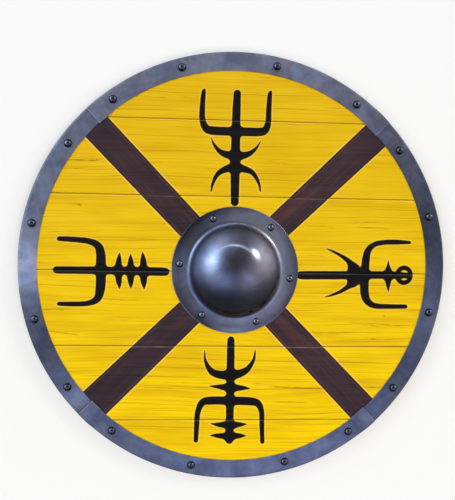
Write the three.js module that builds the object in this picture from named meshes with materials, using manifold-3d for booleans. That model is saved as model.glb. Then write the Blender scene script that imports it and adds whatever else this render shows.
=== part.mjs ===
// A round wooden shield, 24 inches across, lying on its back with the boss up.
// Six painted planks sit in a folded steel rim of four strips. A domed steel boss covers the hand hole, and
// a grip bar and two battens are screwed across the back. Millimetres, +Z up. Seen from the front, +X is the
// shield's right and +Y its top. The origin is on the rim's axis, in the plane that the shield lies on.
import * as THREE from "three";
import { mergeVertices } from "three/addons/utils/BufferGeometryUtils.js";
import Module from "manifold-3d";

const wasm = await Module();
wasm.setup();

// Whole shield
const SHIELD_RADIUS = 304.8; // outside of the rim, 24 inches across
const FIT_GAP = 0.3; // left between pieces that touch

// Planks, which run along X
const PLANK_COUNT = 6;
const PLANK_TRIM = 33.6; // the planks side by side are this much wider than the shield before it is cut round
const PLANK_THICKNESS = 12;
const CENTRE_SEAM_Y = -5; // the seam between the third and fourth planks
const SEAM_GAP = 0.5;
const SEAM_CHAMFER = 0.7; // on the front edges along each seam

// Rim, a steel strip folded over the planks' edge
const RIM_SHEET = 1.2;
const RIM_FRONT_WIDTH = 26.6;
const RIM_BACK_WIDTH = 20;
const RIM_CORNER_RADIUS = 2; // outside of the fold
const RIM_EDGE_GAP = 1.5; // from the fold's inside to the planks' edge
const RIM_LAP = 14; // how far a covering end lies over its neighbour
const RIM_RAMP = 8; // where a covering end rises onto its neighbour
const RIM_RAMP_FOOT = 0.03; // the rise at the foot of that ramp
const RIM_STEP_IN = 1.5; // a covering end reaches this much further in
const RIM_LAP_EDGE = 1.2; // and stays this far inside the rim's outside

// Bearings of the rim's four joints, in degrees clockwise from the top
const UPPER_RIGHT_BEARING = 46;
const LOWER_RIGHT_BEARING = 136.5;
const LOWER_LEFT_BEARING = 226.5;
const UPPER_LEFT_BEARING = 316.2;

// Bearings of each strip's four rivets
const RIM_RIVET_BEARINGS = {
  top: [323.3, 344.3, 10.9, 35.8],
  right: [53.6, 74.4, 102.1, 126.3],
  bottom: [144.4, 164.8, 191.8, 216.5],
  left: [234, 255.1, 281.8, 306],
};

// Each strip runs clockwise between two joints
const RIM_STRIPS = [
  { name: "top", from: UPPER_LEFT_BEARING, to: UPPER_RIGHT_BEARING, covers: true },
  { name: "right", from: UPPER_RIGHT_BEARING, to: LOWER_RIGHT_BEARING, covers: false },
  { name: "bottom", from: LOWER_RIGHT_BEARING, to: LOWER_LEFT_BEARING, covers: true },
  { name: "left", from: LOWER_LEFT_BEARING, to: UPPER_LEFT_BEARING, covers: false },
];

// Boss, a dome on a flat flange. The dome is part of a sphere and runs into the flange with a hollow fillet.
const BOSS_CENTRE_Y = -2.8;
const BOSS_SHEET = 1.6;
const BOSS_FLANGE_WIDTH = 24.4; // from the sphere to the flange's edge
const BOSS_EDGE_CHAMFER = 0.4;
const DOME_RADIUS = 66.4; // where the sphere meets the flange's face
const DOME_HEIGHT = 27.6; // above the flange's face
const DOME_FILLET = 8;
const HAND_HOLE_STEP_IN = 11.4; // the hand hole is this much smaller in radius than the dome

// Rivets, with a domed head in front and a hammered one behind
const RIVET_SHANK_RADIUS = 2.5;
const RIVET_DOME_RATIO = 0.7; // the domed head's height over its radius
const RIVET_TAIL_RADIUS = 4.6;
const RIVET_TAIL_HEIGHT = 1.8;
const RIM_RIVET_HEAD_RADIUS = 5.9;
const RIM_RIVET_INSET = 13.5; // from the rim's outside to the rivets
const BOSS_RIVET_HEAD_RADIUS = 5.3;
const BOSS_RIVET_INSET = 11.2; // from the flange's edge to the rivets
const BOSS_RIVET_BEARINGS = [39, 98, 157, 216, 276, 336];

// Grip bar and battens, which run along Y behind the planks
const BACK_BAR_THICKNESS = 14;
const GRIP_BAR_RIM_GAP = 6; // from its corners to the rim
const BACK_BAR_CHAMFER = 2;
const GRIP_BAR_WIDTH = 34;
const GRIP_WAIST_WIDTH = 31; // where the hand holds it
const GRIP_WAIST_LENGTH = 96;
const GRIP_SHOULDER_LENGTH = 22; // from the waist to the full width
const BATTEN_WIDTH = 30;
const BATTEN_PLANK_COUNT = 4; // it crosses this many planks, the middle ones
const BATTEN_END_GAP = 14.4; // from its ends to those planks' outer seams
const BATTEN_X = 115;

// Wood screws, driven from the back, one for each plank that a bar crosses
const SCREW_HEAD_RADIUS = 4;
const SCREW_HEAD_HEIGHT = 2.6;
const SCREW_SHANK_RADIUS = 1.8;
const SCREW_BITE = 9; // how far a screw reaches into its plank
const SCREW_RECESS = 0.4; // the head lies this deep in the bar

// Where the screws stand along Y, in planks from the centre seam
const GRIP_SCREW_PLANKS = [2.31, 1.5, 0.77, -0.75, -1.5, -2.25];
const BATTEN_SCREW_PLANKS = [1.5, 0.5, -0.5, -1.5];

// Facets
const ROUND_SIDES = 72;
const HOLE_SIDES = 6;
const RIVET_SIDES = 8;
const SCREW_SIDES = 6;
const BOSS_SIDES = 36;
const RIM_STEP_DEGREES = 5;

// Heights and sizes that follow from these
const PLANK_PITCH = (2 * SHIELD_RADIUS + PLANK_TRIM) / PLANK_COUNT;
const PLANK_BACK_Z = BACK_BAR_THICKNESS + FIT_GAP;
const PLANK_FRONT_Z = PLANK_BACK_Z + PLANK_THICKNESS;
const RIM_BACK_Z = PLANK_BACK_Z - FIT_GAP - RIM_SHEET;
const RIM_FRONT_Z = PLANK_FRONT_Z + FIT_GAP + RIM_SHEET;
const PLANK_DISC_RADIUS = SHIELD_RADIUS - RIM_SHEET - RIM_EDGE_GAP;
const RIM_RIVET_CIRCLE_RADIUS = SHIELD_RADIUS - RIM_RIVET_INSET;
const BOSS_FLANGE_RADIUS = DOME_RADIUS + BOSS_FLANGE_WIDTH;
const BOSS_RIVET_CIRCLE_RADIUS = BOSS_FLANGE_RADIUS - BOSS_RIVET_INSET;
const HAND_HOLE_RADIUS = DOME_RADIUS - HAND_HOLE_STEP_IN;
const BATTEN_HALF_LENGTH = (BATTEN_PLANK_COUNT / 2) * PLANK_PITCH - BATTEN_END_GAP;
const BOSS_BACK_Z = PLANK_FRONT_Z + FIT_GAP;
const BOSS_FLANGE_Z = BOSS_BACK_Z + BOSS_SHEET;
const RIVET_HOLE_RADIUS = (RIVET_SHANK_RADIUS + FIT_GAP) / Math.cos(Math.PI / HOLE_SIDES);

const paintedWood = () => new THREE.MeshStandardMaterial({ color: 0xe6c21c, roughness: 0.6, metalness: 0 });
const backWood = () => new THREE.MeshStandardMaterial({ color: 0x8a5f38, roughness: 0.7, metalness: 0 });
const rimSteel = () => new THREE.MeshStandardMaterial({ color: 0x6c7085, roughness: 0.42, metalness: 1 });
const darkSteel = () => new THREE.MeshStandardMaterial({ color: 0x1c1e28, roughness: 0.25, metalness: 1 });

const radians = THREE.MathUtils.degToRad;
const degreesAlong = (length, radius) => THREE.MathUtils.radToDeg(length / radius);

// The point at a radius and a bearing, in degrees clockwise from +Y
function atBearing(radius, bearing) {
  return { x: radius * Math.sin(radians(bearing)), y: radius * Math.cos(radians(bearing)) };
}

// A closed geometry as a solid that can be joined and cut
function solidOf(geometry) {
  const bare = geometry.clone();
  bare.deleteAttribute("normal");
  bare.deleteAttribute("uv");
  const merged = mergeVertices(bare, 1e-4);
  const mesh = new wasm.Mesh({
    numProp: 3,
    vertProperties: new Float32Array(merged.attributes.position.array),
    triVerts: new Uint32Array(merged.index.array),
  });
  return new wasm.Manifold(mesh);
}

function geometryOf(solid) {
  const mesh = solid.getMesh();
  const geometry = new THREE.BufferGeometry();
  geometry.setAttribute("position", new THREE.BufferAttribute(mesh.vertProperties, mesh.numProp));
  geometry.setIndex(new THREE.BufferAttribute(mesh.triVerts, 1));
  geometry.computeVertexNormals();
  return geometry;
}

function namedMesh(name, geometry, material) {
  const mesh = new THREE.Mesh(geometry, material);
  mesh.name = name;
  return mesh;
}

// An upright round bar, used as a disc or to cut a hole
function uprightCylinder(radius, lowZ, highZ, x, y, sides) {
  const geometry = new THREE.CylinderGeometry(radius, radius, highZ - lowZ, sides);
  geometry.rotateX(Math.PI / 2);
  geometry.translate(x, y, (lowZ + highZ) / 2);
  return solidOf(geometry);
}

// A [radius, height] outline turned about the upright axis through x, y
function turned(outline, sides, x, y) {
  const points = outline.map(([radius, height]) => new THREE.Vector2(radius, height));
  const geometry = new THREE.LatheGeometry(points, sides);
  geometry.rotateX(Math.PI / 2);
  geometry.translate(x, y, 0);
  return geometry;
}

// Bearings from one to another, clockwise, no more than a step apart
function bearingsBetween(from, to) {
  const steps = Math.ceil((to - from) / RIM_STEP_DEGREES);
  return Array.from({ length: steps + 1 }, (_, step) => from + ((to - from) * step) / steps);
}

// A solid swept clockwise round the shield's axis through the bearings. sectionAt gives its outline at each,
// as [radius, height] points, anticlockwise, always as many.
function sweptRound(sectionAt, bearings) {
  const steps = bearings.length - 1;
  const outlines = bearings.map(sectionAt);
  const count = outlines[0].length;
  const positions = [];
  outlines.forEach((outline, step) => {
    for (const [radius, height] of outline) {
      const { x, y } = atBearing(radius, bearings[step]);
      positions.push(x, y, height);
    }
  });
  const index = [];
  for (let step = 0; step < steps; step++) {
    for (let i = 0; i < count; i++) {
      const j = (i + 1) % count;
      const [a, b] = [step * count + i, step * count + j];
      index.push(a, b, b + count, a, b + count, a + count);
    }
  }
  const contour = outlines[0].map(([radius, height]) => new THREE.Vector2(radius, height));
  for (const [i, j, k] of THREE.ShapeUtils.triangulateShape(contour, [])) {
    const last = steps * count;
    index.push(k, j, i, last + i, last + j, last + k);
  }
  const geometry = new THREE.BufferGeometry();
  geometry.setAttribute("position", new THREE.Float32BufferAttribute(positions, 3));
  geometry.setIndex(index);
  return solidOf(geometry);
}

// An arc, as [x, y] points
function arc(centreX, centreY, radius, fromDegrees, toDegrees, steps) {
  return Array.from({ length: steps + 1 }, (_, i) => {
    const angle = radians(fromDegrees + ((toDegrees - fromDegrees) * i) / steps);
    return [centreX + radius * Math.cos(angle), centreY + radius * Math.sin(angle)];
  });
}

// Where every rivet stands

const rimRivets = RIM_STRIPS.flatMap((strip) =>
  RIM_RIVET_BEARINGS[strip.name].map((bearing, i) => ({
    name: `rim_rivet_${strip.name}_${i + 1}`,
    ...atBearing(RIM_RIVET_CIRCLE_RADIUS, bearing),
    headRadius: RIM_RIVET_HEAD_RADIUS,
    headZ: RIM_FRONT_Z + FIT_GAP,
    tailZ: RIM_BACK_Z - FIT_GAP,
  })),
);

const bossRivets = BOSS_RIVET_BEARINGS.map((bearing, i) => {
  const { x, y } = atBearing(BOSS_RIVET_CIRCLE_RADIUS, bearing);
  return {
    name: `boss_rivet_${i + 1}`,
    x,
    y: BOSS_CENTRE_Y + y,
    headRadius: BOSS_RIVET_HEAD_RADIUS,
    headZ: BOSS_FLANGE_Z + FIT_GAP,
    tailZ: PLANK_BACK_Z - FIT_GAP,
  };
});

const rivetHoles = [...rimRivets, ...bossRivets].map(({ x, y }) =>
  uprightCylinder(RIVET_HOLE_RADIUS, RIM_BACK_Z - 1, BOSS_FLANGE_Z + 1, x, y, HOLE_SIDES),
);

// Where every screw stands

const backBars = [
  { name: "grip_bar", x: 0, screws: GRIP_SCREW_PLANKS },
  { name: "batten_left", x: -BATTEN_X, screws: BATTEN_SCREW_PLANKS },
  { name: "batten_right", x: BATTEN_X, screws: BATTEN_SCREW_PLANKS },
];

function screwOutline(gap) {
  const tipZ = PLANK_BACK_Z + SCREW_BITE + gap;
  return [
    [0, SCREW_RECESS],
    [SCREW_HEAD_RADIUS + gap, SCREW_RECESS],
    [SCREW_SHANK_RADIUS + gap, SCREW_RECESS + SCREW_HEAD_HEIGHT + gap],
    [SCREW_SHANK_RADIUS + gap, tipZ - SCREW_SHANK_RADIUS],
    [0, tipZ],
  ];
}

// The hole that a screw stands in, open at the bar's back
function screwHoleOutline() {
  return [[0, -1], [SCREW_HEAD_RADIUS + FIT_GAP, -1], ...screwOutline(FIT_GAP).slice(1)];
}

const screwPlaces = backBars.flatMap((bar) =>
  bar.screws.map((planks, i) => ({
    name: `screw_${bar.name}_${i + 1}`,
    x: bar.x,
    y: CENTRE_SEAM_Y + planks * PLANK_PITCH,
  })),
);
const screwHoles = screwPlaces.map(({ x, y }) => solidOf(turned(screwHoleOutline(), SCREW_SIDES, x, y)));

const cutAll = (solid, cutters) => cutters.reduce((rest, cutter) => rest.subtract(cutter), solid);

// Planks: strips of a disc, with their front edges chamfered along the seams

function plank(number) {
  const top = CENTRE_SEAM_Y + (PLANK_COUNT / 2 - number + 1) * PLANK_PITCH - SEAM_GAP / 2;
  const bottom = top - PLANK_PITCH + SEAM_GAP;
  const section = new THREE.Shape([
    new THREE.Vector2(bottom, PLANK_BACK_Z),
    new THREE.Vector2(top, PLANK_BACK_Z),
    new THREE.Vector2(top, PLANK_FRONT_Z - SEAM_CHAMFER),
    new THREE.Vector2(top - SEAM_CHAMFER, PLANK_FRONT_Z),
    new THREE.Vector2(bottom + SEAM_CHAMFER, PLANK_FRONT_Z),
    new THREE.Vector2(bottom, PLANK_FRONT_Z - SEAM_CHAMFER),
  ]);
  const strip = new THREE.ExtrudeGeometry(section, { depth: 2 * SHIELD_RADIUS, bevelEnabled: false });
  strip.translate(0, 0, -SHIELD_RADIUS);
  strip.applyMatrix4(
    new THREE.Matrix4().makeBasis(
      new THREE.Vector3(0, 1, 0),
      new THREE.Vector3(0, 0, 1),
      new THREE.Vector3(1, 0, 0),
    ),
  );
  const disc = uprightCylinder(PLANK_DISC_RADIUS, PLANK_BACK_Z - 1, PLANK_FRONT_Z + 1, 0, 0, ROUND_SIDES);
  const handHole = uprightCylinder(
    HAND_HOLE_RADIUS,
    PLANK_BACK_Z - 1,
    PLANK_FRONT_Z + 1,
    0,
    BOSS_CENTRE_Y,
    BOSS_SIDES,
  );
  const whole = solidOf(strip).intersect(disc);
  const cut = cutAll(whole, [handHole, ...rivetHoles, ...screwHoles]);
  return namedMesh(`plank_${number}`, geometryOf(cut), paintedWood());
}

// Rim: a folded strip between two joints. A covering end stops short there, and a flat lap goes on over its
// neighbour.

function foldedSection() {
  const inner = SHIELD_RADIUS - RIM_SHEET;
  const corner = SHIELD_RADIUS - RIM_CORNER_RADIUS;
  return [
    [SHIELD_RADIUS - RIM_BACK_WIDTH, RIM_BACK_Z],
    ...arc(corner, RIM_BACK_Z + RIM_CORNER_RADIUS, RIM_CORNER_RADIUS, -90, 0, 2),
    ...arc(corner, RIM_FRONT_Z - RIM_CORNER_RADIUS, RIM_CORNER_RADIUS, 0, 90, 2),
    [SHIELD_RADIUS - RIM_FRONT_WIDTH, RIM_FRONT_Z],
    [SHIELD_RADIUS - RIM_FRONT_WIDTH, RIM_FRONT_Z - RIM_SHEET],
    [inner, RIM_FRONT_Z - RIM_SHEET],
    [inner, RIM_BACK_Z + RIM_SHEET],
    [SHIELD_RADIUS - RIM_BACK_WIDTH, RIM_BACK_Z + RIM_SHEET],
  ];
}

function lapSection(rise) {
  const [inside, outside] = [SHIELD_RADIUS - RIM_FRONT_WIDTH - RIM_STEP_IN, SHIELD_RADIUS - RIM_LAP_EDGE];
  const [back, front] = [RIM_FRONT_Z - RIM_SHEET + rise, RIM_FRONT_Z + rise];
  return [
    [inside, back],
    [outside - RIM_SHEET / 2, back],
    [outside, back + RIM_SHEET / 2],
    [outside - RIM_SHEET / 2, front],
    [inside, front],
  ];
}

function rimStrip(strip) {
  const lap = degreesAlong(RIM_LAP, SHIELD_RADIUS);
  const ramp = degreesAlong(RIM_RAMP, SHIELD_RADIUS);
  const halfGap = degreesAlong(FIT_GAP, SHIELD_RADIUS) / 2;
  const under = strip.covers ? -lap : lap; // a covered end runs on beneath its neighbour's lap
  const from = strip.from - (strip.from > strip.to ? 360 : 0) - under + halfGap;
  const to = strip.to + under - halfGap;
  let solid = sweptRound(foldedSection, bearingsBetween(from, to));
  if (strip.covers) {
    const lapAt = (inward) => {
      const down = THREE.MathUtils.smoothstep(inward, 0, ramp);
      return lapSection((RIM_SHEET + FIT_GAP) * (1 - down) + RIM_RAMP_FOOT);
    };
    const inwards = [-lap - halfGap, 0, ramp / 2, ramp];
    const first = inwards.map((inward) => from + inward);
    const last = inwards.map((inward) => to - inward).reverse();
    solid = solid
      .add(sweptRound((bearing) => lapAt(bearing - from), first))
      .add(sweptRound((bearing) => lapAt(to - bearing), last));
  }
  return namedMesh(`rim_${strip.name}`, geometryOf(cutAll(solid, rivetHoles)), rimSteel());
}

// Boss: a dome and its flange, hollow behind

function bossSkin(inset) {
  const sphere = (DOME_RADIUS ** 2 + DOME_HEIGHT ** 2) / (2 * DOME_HEIGHT);
  const sphereZ = BOSS_FLANGE_Z + DOME_HEIGHT - sphere;
  const filletZ = BOSS_FLANGE_Z + DOME_FILLET;
  const reach = sphere + DOME_FILLET; // between the centres of the sphere and the fillet
  const across = Math.sqrt(reach ** 2 - (filletZ - sphereZ) ** 2);
  const lean = THREE.MathUtils.radToDeg(Math.asin(across / reach)); // the dome's slope where they meet
  const concave = arc(across, filletZ, DOME_FILLET + inset, 270, 270 - lean, 3);
  const crown = arc(0, sphereZ, sphere - inset, 90 - lean, 90, 7);
  crown[crown.length - 1][0] = 0;
  return [...concave, ...crown.slice(1)];
}

function boss() {
  const outline = [
    ...bossSkin(BOSS_SHEET).reverse(),
    [BOSS_FLANGE_RADIUS, BOSS_BACK_Z],
    [BOSS_FLANGE_RADIUS, BOSS_FLANGE_Z - BOSS_EDGE_CHAMFER],
    [BOSS_FLANGE_RADIUS - BOSS_EDGE_CHAMFER, BOSS_FLANGE_Z],
    ...bossSkin(0),
  ];
  const solid = solidOf(turned(outline, BOSS_SIDES, 0, BOSS_CENTRE_Y));
  return namedMesh("boss", geometryOf(cutAll(solid, rivetHoles)), rimSteel());
}

// Rivets and screws

function rivet({ name, x, y, headRadius, headZ, tailZ }) {
  const headHeight = headRadius * RIVET_DOME_RATIO;
  const dome = arc(0, 0, 1, 0, 90, 3).map(([across, up]) => [headRadius * across, headZ + headHeight * up]);
  dome[dome.length - 1][0] = 0;
  const outline = [
    [0, tailZ - RIVET_TAIL_HEIGHT],
    [RIVET_TAIL_RADIUS, tailZ],
    [RIVET_SHANK_RADIUS, tailZ],
    [RIVET_SHANK_RADIUS, headZ],
    ...dome,
  ];
  return namedMesh(name, turned(outline, RIVET_SIDES, x, y), darkSteel());
}

function screw({ name, x, y }) {
  return namedMesh(name, turned(screwOutline(0), SCREW_SIDES, x, y), darkSteel());
}

// Grip bar and battens: chamfered along their back edges, and the grip bar waisted for the hand

function chamferedBar(halfWidthAt, stations) {
  const positions = [];
  for (const y of stations) {
    const half = halfWidthAt(y);
    positions.push(-half, y, BACK_BAR_THICKNESS);
    positions.push(-half, y, BACK_BAR_CHAMFER);
    positions.push(BACK_BAR_CHAMFER - half, y, 0);
    positions.push(half - BACK_BAR_CHAMFER, y, 0);
    positions.push(half, y, BACK_BAR_CHAMFER);
    positions.push(half, y, BACK_BAR_THICKNESS);
  }
  const count = 6;
  const index = [];
  for (let step = 0; step < stations.length - 1; step++) {
    for (let i = 0; i < count; i++) {
      const [a, b] = [step * count + i, step * count + ((i + 1) % count)];
      index.push(a, b + count, b, a, a + count, b + count);
    }
  }
  for (let i = 1; i < count - 1; i++) {
    const last = (stations.length - 1) * count;
    index.push(0, i, i + 1, last, last + i + 1, last + i);
  }
  const geometry = new THREE.BufferGeometry();
  geometry.setAttribute("position", new THREE.Float32BufferAttribute(positions, 3));
  geometry.setIndex(index);
  return geometry;
}

// The grip bar's corners stop short of the rim's back
function gripBar() {
  const reach = SHIELD_RADIUS - RIM_BACK_WIDTH - GRIP_BAR_RIM_GAP;
  const end = Math.sqrt(reach ** 2 - (GRIP_BAR_WIDTH / 2) ** 2);
  const waist = GRIP_WAIST_LENGTH / 2;
  const shoulder = waist + GRIP_SHOULDER_LENGTH;
  const halfWidthAt = (y) => {
    const along = THREE.MathUtils.smoothstep(Math.abs(y - BOSS_CENTRE_Y), waist, shoulder);
    return THREE.MathUtils.lerp(GRIP_WAIST_WIDTH, GRIP_BAR_WIDTH, along) / 2;
  };
  const bends = [-shoulder, -(waist + shoulder) / 2, -waist, waist, (waist + shoulder) / 2, shoulder];
  return chamferedBar(halfWidthAt, [-end, ...bends.map((y) => BOSS_CENTRE_Y + y), end]);
}

function batten() {
  const ends = [CENTRE_SEAM_Y - BATTEN_HALF_LENGTH, CENTRE_SEAM_Y + BATTEN_HALF_LENGTH];
  return chamferedBar(() => BATTEN_WIDTH / 2, ends);
}

function backBar({ name, x }) {
  const geometry = name === "grip_bar" ? gripBar() : batten();
  geometry.translate(x, 0, 0);
  return namedMesh(name, geometryOf(cutAll(solidOf(geometry), screwHoles)), backWood());
}

const shield = new THREE.Group();
for (let number = 1; number <= PLANK_COUNT; number++) shield.add(plank(number));
for (const strip of RIM_STRIPS) shield.add(rimStrip(strip));
for (const place of rimRivets) shield.add(rivet(place));
shield.add(boss());
for (const place of bossRivets) shield.add(rivet(place));
for (const bar of backBars) shield.add(backBar(bar));
for (const place of screwPlaces) shield.add(screw(place));

export default shield;
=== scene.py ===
"""A wooden round shield, 24 inches across, lying on its back with the boss up.

The planks, rim, boss, rivets, bar, battens and screws are built here in detail and stand for their solids.
Sizes are in millimetres until a mesh is made. Seen from the front, +X is the shield's right and +Y its top.
A bearing is in degrees clockwise from +Y.
"""

import math
from contextlib import contextmanager

import bmesh
import bpy
import numpy as np
from mathutils import Matrix, Vector


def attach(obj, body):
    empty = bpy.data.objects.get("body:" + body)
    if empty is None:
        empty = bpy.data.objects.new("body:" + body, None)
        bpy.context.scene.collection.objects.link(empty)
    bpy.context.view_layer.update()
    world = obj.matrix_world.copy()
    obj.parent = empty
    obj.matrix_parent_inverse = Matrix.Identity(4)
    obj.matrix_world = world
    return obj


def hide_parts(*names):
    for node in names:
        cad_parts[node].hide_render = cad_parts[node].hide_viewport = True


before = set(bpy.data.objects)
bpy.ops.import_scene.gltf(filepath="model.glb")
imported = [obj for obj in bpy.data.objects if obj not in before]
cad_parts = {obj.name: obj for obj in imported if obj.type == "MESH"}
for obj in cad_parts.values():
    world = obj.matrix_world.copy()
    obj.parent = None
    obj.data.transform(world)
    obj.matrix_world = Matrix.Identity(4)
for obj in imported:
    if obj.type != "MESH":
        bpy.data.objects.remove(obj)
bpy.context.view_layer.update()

MM = 0.001

# The shield's own sizes, as in its solids
SHIELD_RADIUS = 304.8
FIT_GAP = 0.3  # between pieces that touch

# Planks
PLANK_COUNT = 6
PLANK_PITCH = 107.2
PLANK_THICKNESS = 12.0
CENTRE_SEAM_Y = -5.0
SEAM_GAP = 0.5
BAR_THICKNESS = 14.0
PLANK_BACK_Z = BAR_THICKNESS + FIT_GAP
PLANK_FRONT_Z = PLANK_BACK_Z + PLANK_THICKNESS

# Rim
RIM_SHEET = 1.2
RIM_FRONT_WIDTH = 26.6
RIM_BACK_WIDTH = 20.0
RIM_BACK_Z = PLANK_BACK_Z - FIT_GAP - RIM_SHEET
RIM_FRONT_Z = PLANK_FRONT_Z + FIT_GAP + RIM_SHEET
RIM_FOLD_RADIUS = 2.2
RIM_EDGE_GAP = 1.5  # from the fold's inside to the planks' edge
PLANK_DISC_RADIUS = SHIELD_RADIUS - RIM_SHEET - RIM_EDGE_GAP
RIM_LAP_DEGREES = math.degrees(14 / SHIELD_RADIUS)
RIM_RAMP_DEGREES = math.degrees(20 / SHIELD_RADIUS)
RIM_HALF_GAP_DEGREES = math.degrees(FIT_GAP / 2 / SHIELD_RADIUS)
RIM_LAP_RISE = 1.5
RIM_STEP_IN = 1.8
UPPER_RIGHT, LOWER_RIGHT, LOWER_LEFT, UPPER_LEFT = 46.0, 136.5, 226.5, 316.2

# Each strip's first and last bearing, whether it covers its neighbours' ends, and its rivets' bearings
RIM_STRIPS = {
    "top": (UPPER_LEFT - 360, UPPER_RIGHT, True, (-36.7, -15.7, 10.9, 35.8)),
    "right": (UPPER_RIGHT, LOWER_RIGHT, False, (53.6, 74.4, 102.1, 126.3)),
    "bottom": (LOWER_RIGHT, LOWER_LEFT, True, (144.4, 164.8, 191.8, 216.5)),
    "left": (LOWER_LEFT, UPPER_LEFT, False, (234, 255.1, 281.8, 306)),
}

# Boss, and the hand hole behind it
BOSS_CENTRE = (0.0, -2.8)
BOSS_SHEET = 1.6
BOSS_BACK_Z = PLANK_FRONT_Z + FIT_GAP
BOSS_FLANGE_Z = BOSS_BACK_Z + BOSS_SHEET
DOME_RADIUS = 66.4  # where the sphere meets the flange's face
DOME_HEIGHT = 27.6
DOME_FILLET = 12.0
BOSS_FLANGE_RADIUS = DOME_RADIUS + 24.4
HAND_HOLE_RADIUS = DOME_RADIUS - 11.4

# Rivets
RIM_RIVET_CIRCLE_RADIUS = SHIELD_RADIUS - 13.5
RIM_RIVET_HEAD_RADIUS = 5.9
BOSS_RIVET_CIRCLE_RADIUS = BOSS_FLANGE_RADIUS - 11.2
BOSS_RIVET_HEAD_RADIUS = 5.3
BOSS_RIVET_BEARINGS = (39, 98, 157, 216, 276, 336)
RIVET_DOME_RATIO = 0.7
RIVET_SHANK_RADIUS = 2.5
RIVET_TAIL_RADIUS = 4.6
RIVET_TAIL_HEIGHT = 1.75
RIVET_SEAT = 0.15  # how far a head or a tail stands off its sheet

# Grip bar, battens and screws
GRIP_BAR_HALF_LENGTH = 278.3
GRIP_BAR_WIDTH = 34.0
GRIP_WAIST_WIDTH = 31.0
GRIP_WAIST_HALF_LENGTH = 48.0
GRIP_SHOULDER_LENGTH = 22.0
BATTEN_X = 115.0
BATTEN_WIDTH = 30.0
BATTEN_HALF_LENGTH = 2 * PLANK_PITCH - 14.4
BAR_EDGE_RADIUS = 2.2
BAR_END_ROUNDING = 2.6
GRIP_SCREW_YS = [CENTRE_SEAM_Y + planks * PLANK_PITCH for planks in (2.31, 1.5, 0.77, -0.75, -1.5, -2.25)]
BATTEN_SCREW_YS = [CENTRE_SEAM_Y + planks * PLANK_PITCH for planks in (1.5, 0.5, -0.5, -1.5)]
SCREW_HEAD_RADIUS = 4.0
SCREW_SHANK_RADIUS = 1.8
SCREW_RECESS = 0.4

# Camera, as fitted to the photograph's circles and seams
PHOTO_HEIGHT = 500
CAMERA_DISTANCE = 850.0
CAMERA_TILT_LEFT = 0.0637
CAMERA_TILT_UP = 0.0471
CAMERA_ROLL = 0.0155
FOCAL_PIXELS = 595.5
CENTRE_OFFSET_PIXELS = (7.69, 18.4)

# Black motifs, each a set of strokes of (x, y, half width) through which a smooth path runs
TOP_MOTIF = [
    [(-0.7, 247, 5.1), (-1.6, 215, 5.9), (-2.2, 150, 6.6), (-2, 120, 6.1), (-2, 94.5, 5.7)],
    [
        (-46.6, 251.5, 1.0), (-48.2, 246.5, 3.0), (-49.7, 225, 3.8), (-49.3, 209, 4.3), (-43.8, 197, 5.4),
        (-32, 194, 6), (0, 193.9, 6.1), (30, 193.9, 6), (39.8, 197, 5.3), (43.8, 208, 4.2), (44.3, 225, 3.8),
        (45.5, 246.5, 3.1), (47.4, 251.5, 1.0),
    ],
    [(-37, 184, 0.5), (-31, 172.5, 2.2), (-21, 163.4, 4), (-4, 158.5, 6.5)],
    [(33.5, 181, 0.5), (27, 170.8, 2), (16.5, 162.6, 3.9), (0, 158.5, 6.5)],
    [(-35.8, 108.5, 0.9), (-33.5, 120, 2), (-26.5, 133.8, 3.3), (-13, 141.5, 5), (-2, 142.5, 6)],
    [(34.3, 110.5, 0.9), (31.8, 122, 2.1), (23, 136, 3.4), (8, 142, 5.2), (-2, 142.5, 6)],
]
BOTTOM_MOTIF = [
    [(-4.6, -103.5, 4), (-4.4, -112, 5.4), (-4.4, -200, 5.6), (-4.6, -249.5, 5.3)],
    [(-42, -119, 0.5), (-40.6, -134, 2.1), (-31.5, -149, 4.6), (-18, -153.8, 6), (-4, -153.5, 6.5)],
    [(31, -116.5, 0.5), (28.8, -132, 2.2), (19.5, -146, 4.3), (7, -152.5, 6), (-4, -153.5, 6.5)],
    [(-34.5, -170, 0.4), (-24, -170.8, 2.6), (-12, -171.9, 4.8), (-4, -172.2, 5)],
    [(24.5, -173.5, 0.4), (15, -173, 3.1), (4, -172.7, 4.9), (-4, -172.4, 5)],
    [
        (-53, -249.5, 3.1), (-52, -225, 3.8), (-50.6, -208, 4), (-44.5, -194.3, 5), (-32, -191.3, 5.9),
        (-4, -191.7, 6), (22, -192.3, 6.1), (35.5, -195.3, 5.2), (41.5, -207, 3.9), (42.3, -225, 3.6),
        (43.5, -252, 3),
    ],
    [(-32, -225, 0.4), (-22, -226.3, 2.9), (-12, -226.8, 4.7), (-4, -227, 5)],
    [(20.5, -226, 0.4), (12, -226.3, 3), (3, -227, 4.7), (-4, -227, 5)],
    [(-33, -242, 0.4), (-23, -242.6, 3), (-12, -243.3, 4.8), (-4, -243.5, 5)],
    [(20, -243, 0.4), (11, -243, 3.3), (2, -243.2, 4.8), (-4, -243.5, 5)],
]
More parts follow.
